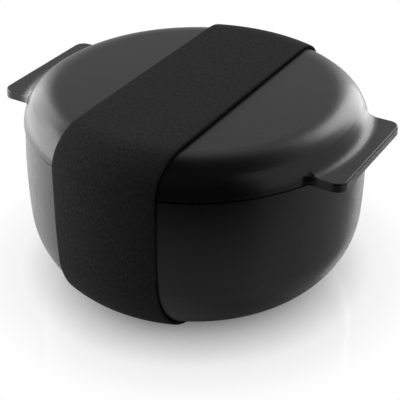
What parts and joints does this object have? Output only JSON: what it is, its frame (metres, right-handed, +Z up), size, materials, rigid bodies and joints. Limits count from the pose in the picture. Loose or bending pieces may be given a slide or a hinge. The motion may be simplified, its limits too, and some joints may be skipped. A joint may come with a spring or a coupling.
{
  "type": "insulated lunch bowl",
  "caption": "Round insulated lunch bowl with a lift-off lid that has a flat ear on each side, a steel inner bowl, and a wide elastic band that holds it shut.",
  "frame": {"origin": "middle of the base, on the surface that the bowl stands on", "axes": "+X towards one ear of the lid, +Z up; the band runs round the bowl in the YZ plane and its sewn lap is on the +Y side"},
  "size_m": [0.1718, 0.1586, 0.0938],
  "materials": {
    "bowl_plastic": "black moulded polypropylene, fine satin texture",
    "lid_plastic": "black moulded polypropylene, fine satin texture",
    "liner_plastic": "black moulded polypropylene, smooth",
    "steel": "drawn stainless steel, satin inside",
    "foam": "rigid insulating foam",
    "silicone": "grey silicone",
    "elastic": "black woven elastic webbing",
    "thread": "black sewing thread"
  },
  "bodies": {
    "bowl": {"outer_bowl": "bowl_plastic", "rim_ring": "bowl_plastic", "inner_bowl": "steel", "bowl_insulation": "foam"},
    "lid": {"lid_shell": "lid_plastic", "lid_liner": "liner_plastic", "lid_insulation": "foam", "lid_seal": "silicone"},
    "band": {"elastic_band": "elastic", "band_stitching": "thread"}
  },
  "joints": [
    {"name": "lid_lift", "type": "slide", "parent": "bowl", "child": "lid", "axis": [0, 0, 1], "range_m": [0, 0.12]},
    {"name": "band_slide", "type": "slide", "parent": "bowl", "child": "band", "axis": [1, 0, 0], "range_m": [-0.125, 0.125], "deforming": ["elastic_band"]}
  ]
}
